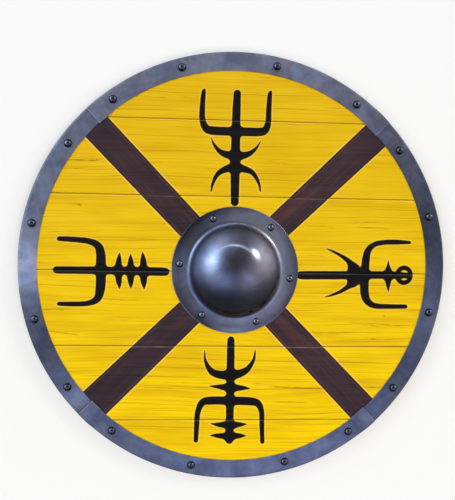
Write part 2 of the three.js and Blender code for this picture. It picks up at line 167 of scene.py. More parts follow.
LEFT_MOTIF = [
    [
        (-255.8, -4.8, 1.2), (-251.5, -5.2, 4.3), (-246, -5.3, 5.1), (-200, -5.2, 5.2), (-150, -5.4, 5.5),
        (-104, -6, 6), (-97.5, -6, 3.4), (-93.5, -6, 0.5),
    ],
    [
        (-247.5, 38.7, 3.3), (-225, 37.7, 3.9), (-207, 35.7, 4.2), (-194.5, 30, 5.3), (-190, 18, 6.5),
        (-189.7, -5, 7), (-190.2, -30, 6.7), (-195, -46, 5.1), (-209, -52.2, 3.6), (-230, -53.2, 3.4),
        (-247.5, -53, 2.9),
    ],
    [(-163.6, 20.5, 0.4), (-164.3, 12, 3), (-165, 4, 4.5), (-165, -5, 4.8)],
    [(-163.6, -31.3, 0.4), (-164.1, -22, 3.7), (-164.9, -13, 4.8), (-165, -5, 4.8)],
    [(-148.2, 18.7, 0.4), (-148.1, 11, 2.9), (-148, 4, 4.4), (-148, -5, 4.8)],
    [(-147.5, -30.5, 0.4), (-147.7, -22, 3.5), (-148, -14, 4.8), (-148, -5, 4.8)],
    [(-131.6, 21.7, 0.4), (-130.7, 13, 3.3), (-130.2, 5, 4.7), (-130, -5, 5)],
    [(-128.8, -31.2, 0.4), (-129.4, -22, 3.9), (-129.8, -14, 5), (-130, -5, 5)],
]
RIGHT_MOTIF = [
    [(95, -8.8, 5.8), (105, -8.6, 6.1), (150, -8.1, 6), (205, -7.1, 5.6), (232, -7.1, 5.3), (254, -7.4, 3.9)],
    [(131, 30.3, 0.4), (141, 26.2, 1.6), (154, 19.6, 2.4), (165, 11.5, 4), (172, 2, 7.5)],
    [(131, -39.9, 0.4), (141, -37, 1.6), (154, -31.4, 2.5), (165, -24, 4), (172, -16, 7.5)],
    [(172, 1.5, 7), (174, -7.5, 8.5), (172, -17, 7)],
    [
        (253.6, 40.7, 2.2), (235, 41.1, 3.5), (214, 40.2, 3.6), (201, 36.7, 3.8), (192.5, 28, 4.9),
        (189.6, 14, 5.7), (188.7, -8, 6.2), (188.8, -31, 6.3), (192.6, -44, 5.5), (203, -51.6, 4.1),
        (222, -52.9, 3.5), (250, -52.7, 3.1),
    ],
    [(222.8, 14.5, 0.3), (223, 6, 2.4), (223.2, 0, 4.4), (223.2, -7, 5)],
    [(224, -32.3, 0.3), (223.6, -23, 2.7), (223.3, -14, 4.8), (223.2, -7, 5)],
]
RING = (246.6, -7.0, 10.1, 3.1)  # at the right motif's tip: centre, radius and half width
MOTIF_BLEND = 5.0  # how softly one stroke runs into the next

# Brown bands: left -1 or right 1, then the slope in degrees and the offset of the upper and lower edges
BANDS = [
    (-1, (-46.4, 12.8), (-45.6, -24.7)),
    (1, (-45.3, 12.9), (-46.4, -24.5)),
    (1, (44.4, 19.3), (43.3, -17.0)),
    (-1, (43.7, 18.7), (45.3, -19.4)),
]

# The strongest cracks in the paint: x and y of both ends, strength and half width
CRACKS = [
    (-237, 149, -193, 149, 0.9, 0.9), (-242, 137, -213, 138, 0.6, 0.8), (-148, 148, -106, 148, 0.5, 0.7),
    (-147, 240, -99, 239, 0.5, 0.8), (-77, 239, -53, 237, 0.4, 0.7), (-101, 199, -61, 198, 0.4, 0.7),
    (-116, 175, -94, 175, 0.3, 0.7), (-83, 270, -40, 268, 0.3, 0.7), (4, 272, 48, 270, 0.4, 0.7),
    (55, 228, 104, 227, 0.5, 0.7), (44, 153, 73, 150, 0.4, 0.7), (-213, 76, -173, 75, 0.4, 0.7),
    (-270, 48, -197, 50, 0.4, 0.7), (-197, 42, -117, 39, 0.3, 0.7), (-270, -62, -232, -60, 0.7, 1.1),
    (-260, -92, -222, -96, 0.7, 0.9), (-178, -46, -136, -47, 0.5, 0.7), (-204, -74, -150, -75, 0.4, 0.7),
    (170, 68, 207, 70, 0.5, 0.7), (174, 61, 222, 60, 0.5, 0.8), (99, 62, 141, 61, 0.4, 0.7),
    (92, 20, 129, 19, 0.4, 0.7), (165, -77, 256, -81, 0.6, 0.8), (186, -79, 212, -83, 0.5, 0.8),
    (140, -91, 216, -91, 0.6, 0.8), (194, 18, 215, 17, 0.3, 0.7), (-99, -164, -13, -167, 0.4, 0.8),
    (-129, -172, -85, -173, 0.5, 0.8), (-131, -196, -95, -197, 0.3, 0.7), (56, -171, 134, -174, 0.8, 1.3),
    (29, -167, 56, -168, 0.5, 0.8), (61, -194, 105, -194, 0.6, 0.9), (199, -172, 214, -173, 0.9, 0.9),
    (111, -91, 153, -92, 0.5, 0.7), (151, -103, 257, -100, 0.4, 0.7), (187, -97, 216, -103, 0.5, 0.7),
    (-222, 87, -217, 86, 1, 2.2), (-236, 88, -222, 87, 0.4, 1.2), (218, -67, 220, -67, 0.9, 1.6),
    (-193, 179, -190, 178, 0.6, 1.3),
]

LATTICE_SIZE = 256
random = np.random.default_rng(7)
LATTICE = random.random((64, LATTICE_SIZE, LATTICE_SIZE))


def ease(t):
    return t * t * (3 - 2 * t)


def noise(x, y, layer):
    """Smooth noise from 0 to 1, one lattice step to a unit."""
    table = LATTICE[layer]
    x, y = np.asarray(x, float) + 2 * LATTICE_SIZE, np.asarray(y, float) + 2 * LATTICE_SIZE
    column, row = np.floor(x).astype(int), np.floor(y).astype(int)
    across, up = ease(x - column), ease(y - row)
    left, right = column % LATTICE_SIZE, (column + 1) % LATTICE_SIZE
    low, high = row % LATTICE_SIZE, (row + 1) % LATTICE_SIZE
    bottom = table[left, low] * (1 - across) + table[right, low] * across
    top = table[left, high] * (1 - across) + table[right, high] * across
    return bottom * (1 - up) + top * up


def waves(x, y, layer, height, length, width=None):
    """Noise about 0, with waves of a length along X and a width along Y."""
    return (noise(x / length, y / (width or length), layer) - 0.5) * height


def smoothstep(value, start, end):
    return ease(np.clip((value - start) / (end - start), 0, 1))


def at_bearing(radius, bearing):
    return radius * math.sin(math.radians(bearing)), radius * math.cos(math.radians(bearing))


def turn_between(bearing, other):
    """From the other bearing to this one, in degrees from -180 to 180."""
    return (bearing - other + 180) % 360 - 180


def arc(centre_x, centre_y, radius, start, end, steps):
    angles = np.radians(np.linspace(start, end, steps + 1))
    return [(centre_x + radius * math.cos(a), centre_y + radius * math.sin(a)) for a in angles]


def full_turn(sides):
    return np.linspace(0, 2 * math.pi, sides, endpoint=False)


# Meshes


def make_object(name, points, faces, face_slots=None):
    """A smooth-shaded mesh object from points in millimetres."""
    mesh = bpy.data.meshes.new(name)
    mesh.from_pydata((np.asarray(points, float) * MM).tolist(), [], faces)
    if face_slots is not None:
        mesh.polygons.foreach_set("material_index", face_slots)
    mesh.shade_smooth()
    mesh.update()
    obj = bpy.data.objects.new(name, mesh)
    bpy.context.scene.collection.objects.link(obj)
    return obj


def points_of(obj):
    return np.array([vertex.co[:] for vertex in obj.data.vertices]) / MM


def add_attribute(obj, name, values):
    attribute = obj.data.attributes.new(name, "FLOAT", "POINT")
    attribute.data.foreach_set("value", np.asarray(values, np.float32))


@contextmanager
def editing(obj):
    mesh = bmesh.new()
    mesh.from_mesh(obj.data)
    yield mesh
    mesh.to_mesh(obj.data)
    mesh.free()


def sharpen(obj, degrees):
    """Splits the shading where faces meet at more than an angle."""
    with editing(obj) as mesh:
        for edge in mesh.edges:
            edge.smooth = len(edge.link_faces) == 2 and edge.calc_face_angle(0) < math.radians(degrees)


def merge_close(obj, distance=1e-6):
    with editing(obj) as mesh:
        bmesh.ops.remove_doubles(mesh, verts=mesh.verts, dist=distance)
        bmesh.ops.recalc_face_normals(mesh, faces=mesh.faces)


def close_ends(obj):
    """Fills the small holes that a turned outline leaves at its axis."""
    with editing(obj) as mesh:
        bmesh.ops.holes_fill(mesh, edges=[edge for edge in mesh.edges if edge.is_boundary], sides=0)
        bmesh.ops.recalc_face_normals(mesh, faces=mesh.faces)
    obj.data.shade_smooth()


def grid_faces(rows, columns, flip=False, offset=0):
    """Quads over a grid of points stored row by row, each row closed on itself."""
    faces = []
    for row in range(rows - 1):
        for column in range(columns):
            a = offset + row * columns + column
            b = offset + row * columns + (column + 1) % columns
            quad = (a, b, b + columns, a + columns)
            faces.append(quad[::-1] if flip else quad)
    return faces


def turned(outline, sides, centre):
    """An outline of (radius, height) turned about an upright axis, as x, y, height and radius."""
    outline = np.asarray(outline, float)
    radius, angle = np.meshgrid(outline[:, 0], full_turn(sides), indexing="ij")
    height = np.repeat(outline[:, 1:], sides, axis=1)
    return centre[0] + radius * np.cos(angle), centre[1] + radius * np.sin(angle), height, radius


def in_rows(x, y, z):
    return np.stack([x, y, z], -1).reshape(-1, 3)


def lathe(name, outline, sides, centre, displace, flip=False):
    """A turned outline whose heights are displaced."""
    x, y, height, radius = turned(outline, sides, centre)
    height = height + displace(x, y, height, radius)
    return make_object(name, in_rows(x, y, height), grid_faces(len(outline), sides, flip))


# The paint, as distances in millimetres that are negative inside a painted shape

FAR = 99.0
RING_HEIGHT_SHARE = 0.93
STROKE_REACH = 14
PATH_STEPS = 5


def smooth_path(points):
    """Points along a smooth curve through the given ones."""
    points = np.asarray(points, float)
    padded = np.vstack([2 * points[0] - points[1], points, 2 * points[-1] - points[-2]])
    path = []
    for i in range(len(points) - 1):
        p0, p1, p2, p3 = padded[i : i + 4]
        bend, twist = 2 * p0 - 5 * p1 + 4 * p2 - p3, 3 * p1 - p0 - 3 * p2 + p3
        for t in np.arange(PATH_STEPS) / PATH_STEPS:
            path.append(0.5 * (2 * p1 + (p2 - p0) * t + bend * t**2 + twist * t**3))
    path.append(points[-1])
    return np.array(path)


def stroke_distance(path, x, y):
    nearest = np.full(x.shape, FAR)
    for (x0, y0, w0), (x1, y1, w1) in zip(path[:-1], path[1:]):
        dx, dy = x1 - x0, y1 - y0
        t = np.clip(((x - x0) * dx + (y - y0) * dy) / max(dx * dx + dy * dy, 1e-9), 0, 1)
        distance = np.hypot(x - x0 - t * dx, y - y0 - t * dy) - (w0 + t * (w1 - w0))
        nearest = np.minimum(nearest, distance)
    return nearest


def soft_union(a, b, softness):
    overlap = np.maximum(softness - np.abs(a - b), 0) / softness
    return np.minimum(a, b) - overlap * overlap * softness / 4


def motif_distance(x, y):
    result = np.full(x.shape, FAR)
    for motif in (TOP_MOTIF, BOTTOM_MOTIF, LEFT_MOTIF, RIGHT_MOTIF):
        distance = np.full(x.shape, FAR)
        for stroke in motif:
            path = smooth_path(stroke)
            near = (x > path[:, 0].min() - STROKE_REACH) & (x < path[:, 0].max() + STROKE_REACH)
            near &= (y > path[:, 1].min() - STROKE_REACH) & (y < path[:, 1].max() + STROKE_REACH)
            found = stroke_distance(path, x[near], y[near])
            distance[near] = soft_union(distance[near], found, MOTIF_BLEND)
        result = np.minimum(result, distance)
    centre_x, centre_y, radius, half_width = RING
    ring = np.abs(np.hypot(x - centre_x, (y - centre_y) * RING_HEIGHT_SHARE) - radius) - half_width
    return np.where(result == FAR, np.minimum(result, ring), soft_union(result, ring, 2.0))


def band_distance(x, y):
    result = np.full(x.shape, FAR)
    for side, (upper_angle, upper), (lower_angle, lower) in BANDS:
        a, b = math.radians(upper_angle), math.radians(lower_angle)
        over = y * math.cos(a) - x * math.sin(a) - upper
        under = lower - (y * math.cos(b) - x * math.sin(b))
        result = np.minimum(result, np.where(x * side > 0, np.maximum(over, under), FAR))
    return result


def crack_strength(x, y):
    """Up to 1 in the middle of a crack, which wanders, tapers and fades in places."""
    result = np.zeros(x.shape)
    for x0, y0, x1, y1, strength, half_width in CRACKS:
        near = (x > x0 - 4) & (x < x1 + 4) & (np.abs(y - (y0 + y1) / 2) < 8)
        cx, cy = x[near], y[near]
        t = (cx - x0) / (x1 - x0)
        wander = (noise(cx / 26, y0 * 3.3, 3) - 0.5) * min(1.7, (x1 - x0) / 20)
        away = np.abs(cy - (y0 + (y1 - y0) * t) - wander)
        taper = smoothstep(t, -0.12, 0.12) * smoothstep(t, 1.12, 0.88)
        broken = 0.75 + 0.9 * (noise(cx / 7, y1 * 5.1, 5) - 0.5)
        depth = 1.25 * strength * broken * taper * np.clip(1 - (away / half_width) ** 2, 0, 1)
        result[near] = np.maximum(result[near], np.minimum(depth, 1.0))
    return result


# Materials. Colours are linear red, green and blue.


class Nodes:
    """A node tree, with each node made and joined in one call."""

    def __init__(self, owner):
        owner.use_nodes = True
        self.nodes = owner.node_tree.nodes
        self.links = owner.node_tree.links

    def put(self, socket, value):
        if isinstance(value, bpy.types.NodeSocket):
            self.links.new(value, socket)
        elif value is not None:
            socket.default_value = value

    def add(self, kind, inputs, **settings):
        node = self.nodes.new(kind)
        for name, value in settings.items():
            setattr(node, name, value)
        for name, value in inputs.items():
            self.put(node.inputs[name], value)
        return node

    def math(self, operation, a, b=None, c=None):
        return self.add("ShaderNodeMath", {0: a, 1: b, 2: c}, operation=operation).outputs["Value"]

    def times(self, a, b):
        return self.math("MULTIPLY", a, b)

    def scaled(self, value, factor, plus):
        return self.math("MULTIPLY_ADD", value, factor, plus)

    def vector(self, x=0.0, y=0.0, z=0.0):
        return self.add("ShaderNodeCombineXYZ", {"X": x, "Y": y, "Z": z}).outputs["Vector"]

    def vector_math(self, operation, a, b):
        second = 3 if operation == "SCALE" else 1
        node = self.add("ShaderNodeVectorMath", {0: a, second: b}, operation=operation)
        return node.outputs["Value" if operation == "DOT_PRODUCT" else "Vector"]


class Surface(Nodes):
    """A material around one shader."""

    def __init__(self, name):
        self.material = bpy.data.materials.new(name)
        super().__init__(self.material)
        self.shader = self.nodes["Principled BSDF"]

    def place(self, scale=(1, 1, 1)):
        """Object coordinates in metres, scaled along each axis."""
        source = self.add("ShaderNodeTexCoord", {}).outputs["Object"]
        return self.add("ShaderNodeMapping", {"Vector": source, "Scale": scale}).outputs["Vector"]

    def noise(self, vector, scale=1.0, detail=3.0, roughness=0.5, distortion=0.0):
        inputs = {"Vector": vector, "Scale": scale, "Detail": detail, "Roughness": roughness}
        return self.add("ShaderNodeTexNoise", {**inputs, "Distortion": distortion}).outputs["Fac"]

    def attribute(self, name):
        return self.add("ShaderNodeAttribute", {}, attribute_name=name).outputs["Fac"]

    def span(self, value, from_low, from_high, to_low=0.0, to_high=1.0):
        """value moved from one range to another, held at the ends, with soft ends."""
        names = ("Value", "From Min", "From Max", "To Min", "To Max")
        inputs = dict(zip(names, (value, from_low, from_high, to_low, to_high)))
        return self.add("ShaderNodeMapRange", inputs, interpolation_type="SMOOTHSTEP").outputs["Result"]

    def strip(self, value, start, low, high, end):
        """1 where value is between low and high, and 0 before start and past end."""
        return self.times(self.span(value, end, high), self.span(value, start, low))

    def mix(self, factor, a, b, blend="MIX"):
        node = self.add("ShaderNodeMix", {}, data_type="RGBA", blend_type=blend)
        for index, value in ((0, factor), (6, a), (7, b)):
            self.put(node.inputs[index], (*value, 1.0) if isinstance(value, tuple) else value)
        return node.outputs[2]

    def wash(self, colour, other, value, low, high, most):
        """colour turned towards another one, at most by a share, as value goes from low to high."""
        return self.mix(self.span(value, low, high, 0, most), colour, other)

    def brighten(self, colour, factor):
        return self.mix(1.0, colour, self.vector(factor, factor, factor), "MULTIPLY")

    def bump(self, height, strength, distance):
        inputs = {"Height": height, "Strength": strength, "Distance": distance}
        return self.add("ShaderNodeBump", inputs).outputs["Normal"]

    def finish(self, **inputs):
        for name, value in inputs.items():
            self.put(self.shader.inputs[name.replace("_", " ")], value)
        return self.material


class PaintedWood(Surface):
    """The planks' fronts. Mesh attributes tell how far each point is from the painted edges and the seams."""

    def __init__(self):
        super().__init__("painted_wood")
        source = self.add("ShaderNodeTexCoord", {}).outputs["Object"]
        place = self.add("ShaderNodeSeparateXYZ", {"Vector": source})
        self.x, self.y = place.outputs["X"], place.outputs["Y"]
        slope = self.noise(self.place((2.2, 9, 5)), detail=2)
        ripple = self.noise(self.place((14, 22, 5)), detail=1)
        self.bent = self.scaled(slope, 0.030, self.scaled(ripple, 0.0022, self.y))
        self.fine = self.noise(self.along(0.16, 0.0032), detail=2, roughness=0.6)
        self.fibre = self.noise(self.along(0.07, 0.0014), detail=1)
        self.streak = self.noise(self.along(0.26, 0.0085), detail=3, roughness=0.55)
        self.patch = self.noise(self.along(0.10, 0.045), detail=2)
        self.shade = self.noise(self.along(0.22, 0.020), detail=3, roughness=0.6)
        self.lines = self.grain_lines(0.0115, 0.0009, 0.22, 0.47)
        self.hairs = self.grain_lines(0.0054, 0.0008, 0.17, 0.38)
        self.crack = self.attribute("crack")
        across, up = self.math("ABSOLUTE", self.x), self.math("ABSOLUTE", self.y)
        self.outward = self.math("ADD", across, up)
        self.sideways = self.math("SUBTRACT", across, up)
        self.stroke = self.noise(self.brush(70.0), detail=3, roughness=0.6)

    def along(self, length, width):
        """Coordinates along the grain, one step to a length and to a width in metres."""
        return self.vector(self.times(self.x, 1 / length), self.times(self.bent, 1 / width))

    def brush(self, fineness):
        """Coordinates along the bands."""
        along = self.scaled(self.patch, 0.8, self.times(self.outward, 6.0))
        return self.vector(along, self.times(self.sideways, fineness), self.times(self.x, 3.0))

    def grain_lines(self, spacing, width, length, low):
        """Thin lines along the grain, each of its own strength, that come and go."""
        rows = self.times(self.bent, 1 / spacing)
        row = self.math("FLOOR", rows)
        shift = self.noise(self.vector(self.times(row, 3.7)), detail=0)
        centre = self.span(shift, 0.3, 0.7, 0.2, 0.8)
        offset = self.math("ABSOLUTE", self.math("SUBTRACT", self.math("FRACT", rows), centre))
        spot = self.vector(self.times(self.x, 1 / length), self.times(row, 7.31))
        strength = self.span(self.noise(spot, detail=2), low, 0.62)
        return self.times(self.span(offset, width / spacing, 0.2 * width / spacing), strength)

    def yellow(self):
        """Yellow paint, lighter and deeper towards the bottom as painted light, and darker along the grain.
        """
        # Painted light: the yellow is lighter towards the bottom
        upper = self.span(self.y, -0.28, 0.28)
        plain = self.mix(upper, (0.880, 0.580, 0.0006), (0.710, 0.437, 0.0050))
        pale = self.mix(upper, (0.910, 0.612, 0.0012), (0.750, 0.472, 0.0090))
        colour = self.mix(self.span(self.patch, 0.3, 0.7), plain, pale)
        colour = self.wash(colour, (0.66, 0.380, 0.002), self.shade, 0.42, 0.66, 0.62)
        colour = self.wash(colour, (0.64, 0.360, 0.003), self.streak, 0.46, 0.74, 0.48)
        colour = self.wash(colour, (0.62, 0.345, 0.004), self.fine, 0.48, 0.72, 0.24)
        colour = self.wash(colour, (0.58, 0.315, 0.004), self.fibre, 0.46, 0.70, 0.14)
        colour = self.mix(self.times(self.hairs, 0.44), colour, (0.44, 0.225, 0.005))
        colour = self.mix(self.times(self.lines, 0.58), colour, (0.30, 0.145, 0.008))
        return self.mix(self.times(self.crack, 0.75), colour, (0.13, 0.055, 0.008))

    def brown(self):
        """Brown stain, brushed along the bands and redder towards the boss."""
        colour = self.mix(self.span(self.patch, 0.35, 0.7), (0.029, 0.0195, 0.0255), (0.044, 0.0245, 0.0285))
        inward = self.span(self.outward, 0.36, 0.16)
        reds = self.times(self.span(self.stroke, 0.46, 0.72), self.scaled(inward, 0.35, 0.22))
        colour = self.mix(reds, colour, (0.105, 0.040, 0.034))
        thread = self.noise(self.brush(330.0), detail=2)
        colour = self.wash(colour, (0.075, 0.048, 0.054), thread, 0.52, 0.70, 0.35)
        colour = self.wash(colour, (0.062, 0.040, 0.046), self.streak, 0.5, 0.75, 0.3)
        colour = self.wash(colour, (0.016, 0.011, 0.013), self.fine, 0.46, 0.7, 0.30)
        return self.mix(self.times(self.lines, 0.30), colour, (0.009, 0.005, 0.005))

    def with_bands(self, colour, band):
        """The bands, with a pale line outside, a thin line inside and a scored edge."""
        colour = self.mix(self.span(band, 0.35, -0.35), colour, self.brown())
        halo = self.times(self.strip(band, 0.4, 0.9, 1.4, 2.2), self.span(self.shade, 0.35, 0.6, 0.2, 0.65))
        colour = self.mix(halo, colour, (0.90, 0.70, 0.17))
        inner = self.span(self.stroke, 0.35, 0.6, 0.1, 0.6)
        inner = self.times(self.strip(band, -4.4, -3.4, -3.2, -2.4), inner)
        colour = self.mix(inner, colour, (0.11, 0.05, 0.06))
        scored = self.span(self.math("ABSOLUTE", self.math("ADD", band, 0.6)), 1.3, 0.3)
        return self.mix(self.times(scored, 0.85), colour, (0.022, 0.008, 0.008))

    def with_motifs(self, colour, black):
        """The black motifs, browner at their edges, with a pale line outside."""
        colour = self.mix(self.times(self.strip(black, 0.3, 0.8, 1.2, 2.0), 0.30), colour, (0.90, 0.70, 0.15))
        colour = self.mix(self.span(black, 0.45, -0.25), colour, (0.030, 0.012, 0.006))
        deep, thin = (0.0066, 0.0055, 0.0055), (0.0112, 0.0098, 0.0092)
        glaze = self.mix(self.span(self.streak, 0.45, 0.7), deep, thin)
        return self.mix(self.span(black, -0.3, -1.4), colour, glaze)

    def with_seams(self, colour, in_band, in_black, light):
        """Along the seams: upper edges painted lighter, partly as wear and partly as a painted highlight,
        chipped more in the dark paint, and painted shade in the seams.
        """
        above, below = self.attribute("top_edge"), self.attribute("low_edge")
        chips = self.span(self.noise(self.place((26, 90, 1)), detail=4, roughness=0.65), 0.42, 0.66)
        lower = self.span(self.y, 0.0, -0.12, 0.05, 0.24)
        # A painted highlight and wear on each plank's upper edge, chipped more in the bands and motifs
        edge_wear_and_highlight = self.strip(above, 0.4, 0.9, 1.3, 2.2)
        for inside, worn, shown in (
            (in_band, self.scaled(chips, 0.42, lower), (0.30, 0.25, 0.26)),
            (in_black, self.scaled(chips, 0.3, 0.35), (0.11, 0.095, 0.09)),
            (light, 0.5, (0.90, 0.66, 0.07)),
        ):
            colour = self.mix(self.times(self.times(edge_wear_and_highlight, inside), worn), colour, shown)
        # Painted shade in the seams, deeper along each plank's lower edge
        seam_shade = self.math("MAXIMUM", self.span(above, 0.9, 0.3, 0, 0.25), self.span(below, 1.2, 0.4, 0, 0.42))
        wander = self.span(self.noise(self.along(0.09, 0.2), detail=2), 0.35, 0.65, 0.45, 1.0)
        seam_shade = self.times(seam_shade, self.times(wander, self.math("SUBTRACT", 1.0, in_black)))
        return self.mix(seam_shade, colour, (0.20, 0.085, 0.008))

    def painted(self):
        speck = self.noise(self.place((60, 160, 1)), detail=3, roughness=0.7)
        rough_edge = self.math("SUBTRACT", speck, 0.5)
        band = self.scaled(rough_edge, 0.7, self.attribute("band"))
        black = self.scaled(rough_edge, 0.8, self.attribute("black"))
        in_band, in_black = self.span(band, 0.0, -0.8), self.span(black, 0.0, -0.8)
        light = self.math("SUBTRACT", 1.0, self.math("MAXIMUM", in_band, in_black))
        colour = self.with_motifs(self.with_bands(self.yellow(), band), black)
        colour = self.with_seams(colour, in_band, in_black, light)
        roughness = self.scaled(self.fine, 0.22, self.scaled(light, 0.06, 0.36))
        marks = self.times(self.math("MAXIMUM", self.lines, self.crack), 0.8)
        relief = self.math("SUBTRACT", self.scaled(self.streak, 0.6, self.fine), marks)
        self.shader.inputs["Specular IOR Level"].default_value = 0.11
        return self.finish(Base_Color=colour, Roughness=roughness, Normal=self.bump(relief, 0.35, 0.0005))


def bare_wood(name, grain_axis, light, dark):
    """Oiled wood with its grain along X or Y. The board attribute gives each plank its own cut and shade."""
    s = Surface(name)
    board = s.attribute("board")
    cut = s.vector(s.times(board, 3.1), s.times(board, 7.3), s.times(board, 5.7))

    def along(length, width):
        scale = (length, width, width) if grain_axis == "X" else (width, length, width)
        return s.vector_math("ADD", s.place(scale), cut)

    def darker(share):
        return tuple(share * c for c in dark)

    rings = s.noise(along(1.4, 26), detail=3, distortion=0.6)
    rings = s.math("FRACT", s.times(rings, 9.0))
    rings = s.strip(rings, 0.0, 0.75, 0.85, 1.0)
    fibre = s.noise(along(16, 620), detail=3, roughness=0.65)
    pores = s.noise(along(60, 1500), detail=2)
    tone = s.noise(along(4, 9), detail=2)
    shade = s.math("FRACT", s.times(board, 0.618))
    colour = s.wash(light, dark, rings, 0.2, 1.0, 0.75)
    colour = s.mix(s.times(shade, 0.3), colour, darker(0.8))
    colour = s.wash(colour, darker(0.75), tone, 0.35, 0.7, 0.35)
    colour = s.wash(colour, darker(0.55), fibre, 0.45, 0.75, 0.45)
    colour = s.wash(colour, darker(0.3), pores, 0.62, 0.72, 0.6)
    roughness = s.span(fibre, 0.3, 0.7, 0.5, 0.68)
    relief = s.bump(s.scaled(rings, 0.4, fibre), 0.3, 0.0004)
    return s.finish(Base_Color=colour, Roughness=roughness, Normal=relief)


def mottled_steel(name, rough, mottle):
    """Clouded blue-grey steel. Tone lightens or darkens it with painted reflections and shade, a painted
    reflection colour turns it bluer and polish smooths it.
    """
    s = Surface(name)
    clouds = s.noise(s.place(), scale=24, detail=3, roughness=0.6, distortion=0.8)
    smoke = s.noise(s.place(), scale=75, detail=3, roughness=0.6, distortion=0.4)
    hue = s.noise(s.place(), scale=34, detail=2)
    speck = s.noise(s.place(), scale=900, detail=2)
    brushed = s.noise(s.place((40, 1500, 40)), detail=2)
    darkest, lightest = (tuple(c + change * mottle for c in (0.375, 0.375, 0.43)) for change in (-0.1, 0.11))
    colour = s.mix(s.span(clouds, 0.32, 0.68), darkest, lightest)
    colour = s.wash(colour, (0.23, 0.23, 0.29), smoke, 0.45, 0.72, 0.6 * mottle)
    colour = s.wash(colour, (0.56, 0.57, 0.63), smoke, 0.45, 0.25, 0.5 * mottle)
    colour = s.wash(colour, (0.56, 0.57, 0.62), speck, 0.62, 0.75, 0.2)
    # A painted reflection colour from the mesh, added to random blueness
    blue = s.math("ADD", s.attribute("painted_reflection_tint"), s.span(hue, 0.35, 0.65, -0.35, 0.35))
    colour = s.mix(1.0, colour, s.mix(blue, (1.06, 0.99, 0.96), (0.90, 0.99, 1.20)), "MULTIPLY")
    # Painted reflections and shade from the tone attribute
    colour = s.brighten(colour, s.attribute("tone"))
    roughness = s.scaled(s.attribute("polish"), -0.07, rough - 0.09)
    roughness = s.scaled(smoke, 0.12, s.scaled(clouds, 0.06, roughness))
    relief = s.bump(s.scaled(brushed, 0.25, s.scaled(speck, 0.3, clouds)), 0.10, 0.0003)
    return s.finish(Base_Color=colour, Metallic=1.0, Roughness=roughness, Normal=relief)


def dark_steel(name):
    """Blackened steel, lightened by a painted highlight where the head attribute is above 0 and darkened by
    painted shade where it is below 0.
    """
    s = Surface(name)
    clouds = s.noise(s.place(), scale=260, detail=3)
    worn = s.noise(s.place(), scale=900, detail=3, roughness=0.7)
    colour = s.mix(s.span(clouds, 0.3, 0.7), (0.096, 0.096, 0.108), (0.180, 0.180, 0.198))
    colour = s.wash(colour, (0.33, 0.32, 0.34), worn, 0.6, 0.75, 0.5)
    # Painted highlight and painted shade on the rivet heads
    colour = s.brighten(colour, s.math("ADD", s.attribute("painted_head_light_and_shade"), 1.0))
    roughness = s.span(clouds, 0.3, 0.7, 0.05, 0.11)
    return s.finish(Base_Color=colour, Metallic=1.0, Roughness=roughness, Normal=s.bump(worn, 0.1, 0.0002))


PAINTED_WOOD = PaintedWood().painted()
PLANK_BACK_WOOD = bare_wood("plank_back_wood", "X", (0.36, 0.215, 0.105), (0.23, 0.125, 0.055))
BAR_WOOD = bare_wood("bar_wood", "Y", (0.27, 0.145, 0.065), (0.16, 0.078, 0.034))
RIM_STEEL = mottled_steel("rim_steel", 0.42, 0.8)
BOSS_STEEL = mottled_steel("boss_steel", 0.18, 0.5)
DARK_STEEL = dark_steel("dark_steel")


def dress(obj, node, slot, *materials):
    """Makes a piece stand for its solid."""
    for material in materials:
        obj.data.materials.append(material)
    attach(obj, "root")
    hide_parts(node)


# Planks

COLUMN_SPACING = 1.5
ROW_SPACING = 0.9
BACK_COLUMNS = 60
SEAM_COLUMNS = 80
EDGE_ROWS = np.array([0, 0.3, 0.65, 1.05, 1.5, 2.1])  # in from a seam, closer where it is rounded
INNER_ROWS_START = 2.8
DISC_CUT = 0.5  # how far the outer planks stop short of the disc
PAINT_REACH = 20
PAINTED_FACE, BARE_FACE = 0, 1


def plank_front_height(x, y, low, high):
    """The front face's height: rounded edges along the seams, raised grain and cracks."""
    edge = np.minimum(high - y, y - low)
    width = np.clip(1.2 + waves(x, y, 0, 0.7, 9, 60) + waves(x, y, 1, 0.6, 40, 60), 0.6, 2.2)
    rounding = 0.9 * np.clip(1 - edge / width, 0, 1) ** 1.6
    grain = waves(x, y, 2, 0.10, 30, 1.3) + waves(x, y, 4, 0.12, 55, 4)
    return PLANK_FRONT_Z - 0.1 - rounding + grain - 0.35 * crack_strength(x, y)


class Shell:
    """Points and faces, gathered part by part."""

    def __init__(self):
        self.points, self.faces, self.slots = np.empty((0, 3)), [], []

    def add_points(self, x, y, z):
        first = len(self.points)
        self.points = np.concatenate([self.points, in_rows(x, y, z)])
        return np.arange(first, first + x.size).reshape(x.shape)

    def add_quads(self, line, next_line, slot, turn, kept=...):
        """Quads between two lines of points, facing the other way where turn is negative."""
        corners = [line[..., :-1], line[..., 1:], next_line[..., 1:], next_line[..., :-1]]
        quads = np.stack(corners, -1)[kept].reshape(-1, 4)
        self.faces += (quads if turn > 0 else quads[:, ::-1]).tolist()
        self.slots += [slot] * len(quads)


